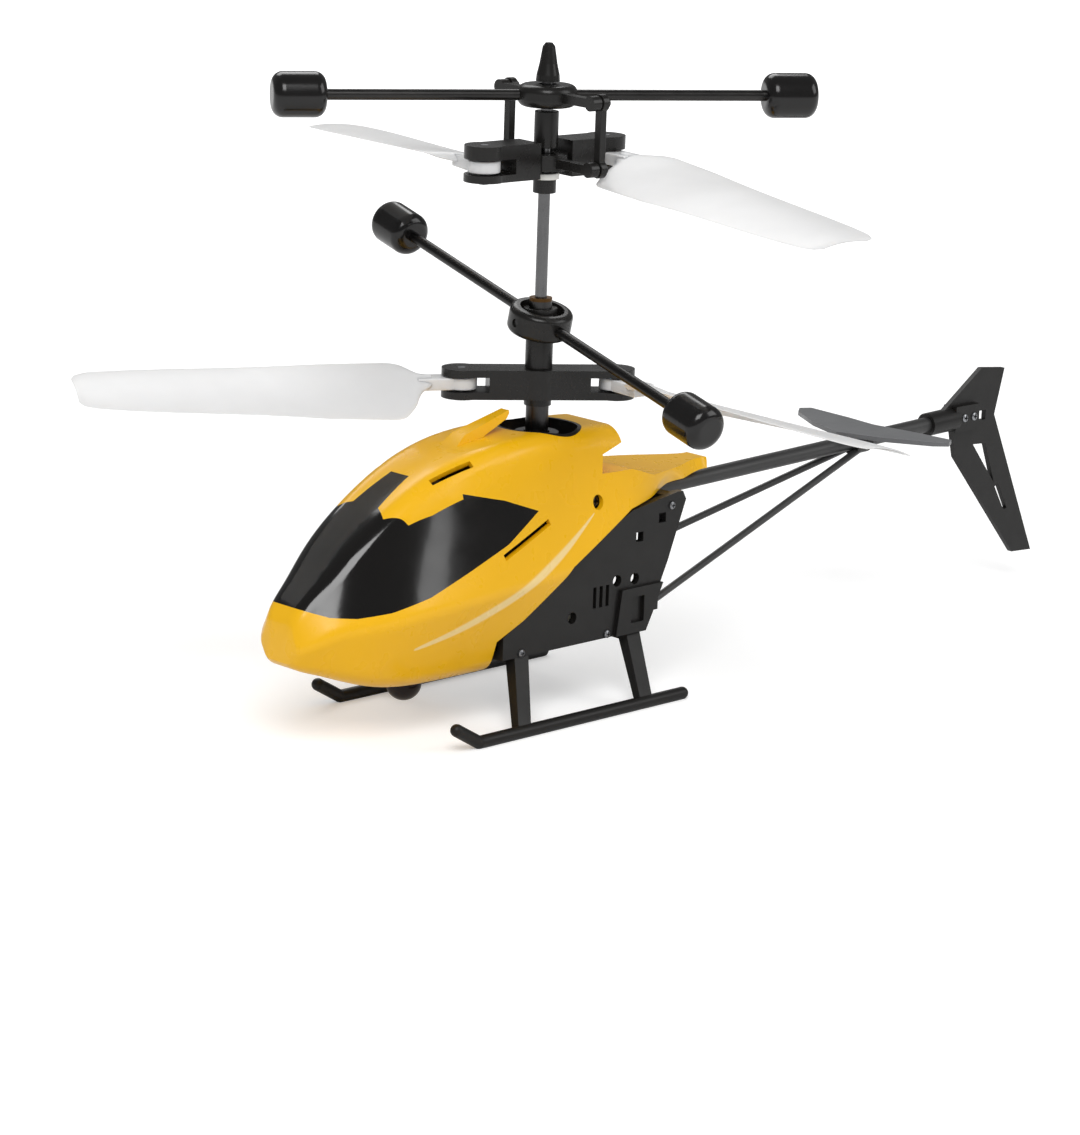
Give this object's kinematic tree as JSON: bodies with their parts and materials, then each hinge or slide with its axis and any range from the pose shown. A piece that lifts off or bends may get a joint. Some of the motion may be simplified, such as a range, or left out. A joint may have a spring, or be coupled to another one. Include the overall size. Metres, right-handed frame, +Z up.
{
  "type": "toy helicopter",
  "caption": "Radio-controlled coaxial toy helicopter with stacked rotors on one mast, flybars, folding blades, hollow canopy shell, gear drive, skids and tail boom.",
  "frame": {"origin": "foot of the rotor mast axis on the ground plane that the skid runners rest on", "axes": "+Z up along the mast, nose towards -Y, tail towards +Y, +X to the helicopter's left side"},
  "size_m": [0.1641, 0.2449, 0.1334],
  "materials": {
    "shell_yellow": "moulded yellow gloss plastic",
    "canopy_black": "smoked black gloss plastic",
    "frame_black": "black moulded nylon",
    "head_black": "black moulded nylon, lightly polished",
    "blade_white": "milky white blade plastic",
    "gear_nylon": "natural nylon",
    "tail_grey": "dark grey plastic",
    "weight_black": "black plated flybar weights",
    "rod_dark": "blackened steel rod",
    "boom_black": "black coated tube",
    "steel": "bright steel",
    "tube_metal": "dark coated drive tube",
    "brass": "turned brass",
    "motor_can": "drawn steel can",
    "screw_steel": "plated screw",
    "battery_foil": "foil pouch",
    "board_green": "green circuit board",
    "chip_black": "chips and small parts",
    "switch_shell": "folded steel switch case",
    "socket_white": "white socket housing",
    "dome_smoke": "dark translucent dome",
    "washer_white": "white nylon washer"
  },
  "bodies": {
    "airframe": {"battery": "battery_foil", "board_components": "chip_black", "body_shell": "shell_yellow", "boom_block": "frame_black", "boom_struts": "boom_black", "canopy_window": "canopy_black", "charging_socket": "socket_white", "control_board": "board_green", "fin_bracket": "frame_black", "frame_bushes": "brass", "frame_floor": "frame_black", "frame_plate_left": "frame_black", "frame_plate_right": "frame_black", "frame_screws": "screw_steel", "mast_tower": "frame_black", "motor_deck": "frame_black", "motor_front": "motor_can", "motor_rear": "motor_can", "runner_left": "frame_black", "runner_right": "frame_black", "sensor_dome": "dome_smoke", "shell_screws": "screw_steel", "skid_legs_front": "frame_black", "skid_legs_rear": "frame_black", "strut_clamp": "frame_black", "switch_housing": "switch_shell", "tail_boom": "boom_black", "tail_fin": "frame_black", "tail_screws": "screw_steel", "tail_stabiliser": "tail_grey", "top_deck": "frame_black"},
    "switch_knob": {"switch_knob": "frame_black"},
    "inner_rotor": {"inner_shaft": "tube_metal", "main_gear_lower": "gear_nylon", "head_pins": "steel", "head_spacers": "head_black", "head_washer": "washer_white", "mast_cap": "head_black"},
    "outer_rotor": {"outer_tube": "tube_metal", "main_gear_upper": "gear_nylon", "tube_bushes": "brass", "lower_flybar_seat": "head_black", "lower_clip": "head_black", "lower_blade_screws": "screw_steel"},
    "pinion_front": {"pinion_front": "brass"},
    "pinion_rear": {"pinion_rear": "brass"},
    "upper_flybar": {"upper_flybar_hub": "head_black", "upper_flybar_rods": "rod_dark", "upper_flybar_weights": "weight_black"},
    "upper_clip": {"upper_clip": "head_black", "upper_blade_screws": "screw_steel"},
    "head_link_left": {"head_link_left": "head_black"},
    "head_link_right": {"head_link_right": "head_black"},
    "upper_blade_right": {"upper_blade_right": "blade_white"},
    "upper_blade_left": {"upper_blade_left": "blade_white"},
    "lower_blade_right": {"lower_blade_right": "blade_white"},
    "lower_blade_left": {"lower_blade_left": "blade_white"},
    "lower_flybar": {"lower_flybar_hub": "head_black", "lower_flybar_rods": "rod_dark", "lower_flybar_weights": "weight_black"}
  },
  "joints": [
    {"name": "switch_slide", "type": "slide", "parent": "airframe", "child": "switch_knob", "axis": [0, 1, 0], "range_m": [0, 0.002]},
    {"name": "inner_spin", "type": "hinge", "parent": "airframe", "child": "inner_rotor", "pos_m": [0, 0, 0.06], "axis": [0, 0, 1], "continuous": true},
    {"name": "outer_spin", "type": "hinge", "parent": "airframe", "child": "outer_rotor", "pos_m": [0, 0, 0.06], "axis": [0, 0, 1], "continuous": true},
    {"name": "front_pinion_spin", "type": "hinge", "parent": "airframe", "child": "pinion_front", "pos_m": [0, -0.0135, 0.03], "axis": [0, 0, 1], "continuous": true},
    {"name": "rear_pinion_spin", "type": "hinge", "parent": "airframe", "child": "pinion_rear", "pos_m": [0, 0.0135, 0.03], "axis": [0, 0, 1], "continuous": true},
    {"name": "flybar_teeter", "type": "hinge", "parent": "inner_rotor", "child": "upper_flybar", "pos_m": [0, 0, 0.123], "axis": [0.0785, 0.9969, 0], "range_deg": [-8, 8]},
    {"name": "clip_feather", "type": "hinge", "parent": "inner_rotor", "child": "upper_clip", "pos_m": [0, 0, 0.11], "axis": [0.0785, 0.9969, 0], "range_deg": [-8, 8]},
    {"name": "left_link_pivot", "type": "hinge", "parent": "upper_flybar", "child": "head_link_left", "pos_m": [-0.01396, 0.0011, 0.123], "axis": [0.0785, 0.9969, 0], "range_deg": [-8, 8]},
    {"name": "right_link_pivot", "type": "hinge", "parent": "upper_flybar", "child": "head_link_right", "pos_m": [0.01396, -0.0011, 0.123], "axis": [0.0785, 0.9969, 0], "range_deg": [-8, 8]},
    {"name": "upper_right_fold", "type": "hinge", "parent": "upper_clip", "child": "upper_blade_right", "pos_m": [0.00122, 0.01545, 0.11], "axis": [0, 0, 1], "range_deg": [-3, 168.5]},
    {"name": "upper_left_fold", "type": "hinge", "parent": "upper_clip", "child": "upper_blade_left", "pos_m": [-0.00122, -0.01545, 0.11], "axis": [0, 0, 1], "range_deg": [-1, 178.5]},
    {"name": "lower_right_fold", "type": "hinge", "parent": "outer_rotor", "child": "lower_blade_right", "pos_m": [0.00922, 0.01246, 0.0654], "axis": [0, 0, 1], "range_deg": [0, 160]},
    {"name": "lower_left_fold", "type": "hinge", "parent": "outer_rotor", "child": "lower_blade_left", "pos_m": [-0.00922, -0.01246, 0.0654], "axis": [0, 0, 1], "range_deg": [-108, 92]},
    {"name": "lower_flybar_teeter", "type": "hinge", "parent": "outer_rotor", "child": "lower_flybar", "pos_m": [0, 0, 0.078], "axis": [0.108, 0.9942, 0], "range_deg": [-27.3, 0.7]}
  ],
  "couplings": [
    {"joint": "front_pinion_spin", "follows": "inner_spin", "ratio": -3.5},
    {"joint": "rear_pinion_spin", "follows": "outer_spin", "ratio": -3.5},
    {"joint": "clip_feather", "follows": "flybar_teeter", "ratio": 1},
    {"joint": "left_link_pivot", "follows": "flybar_teeter", "ratio": -1},
    {"joint": "right_link_pivot", "follows": "flybar_teeter", "ratio": -1}
  ]
}
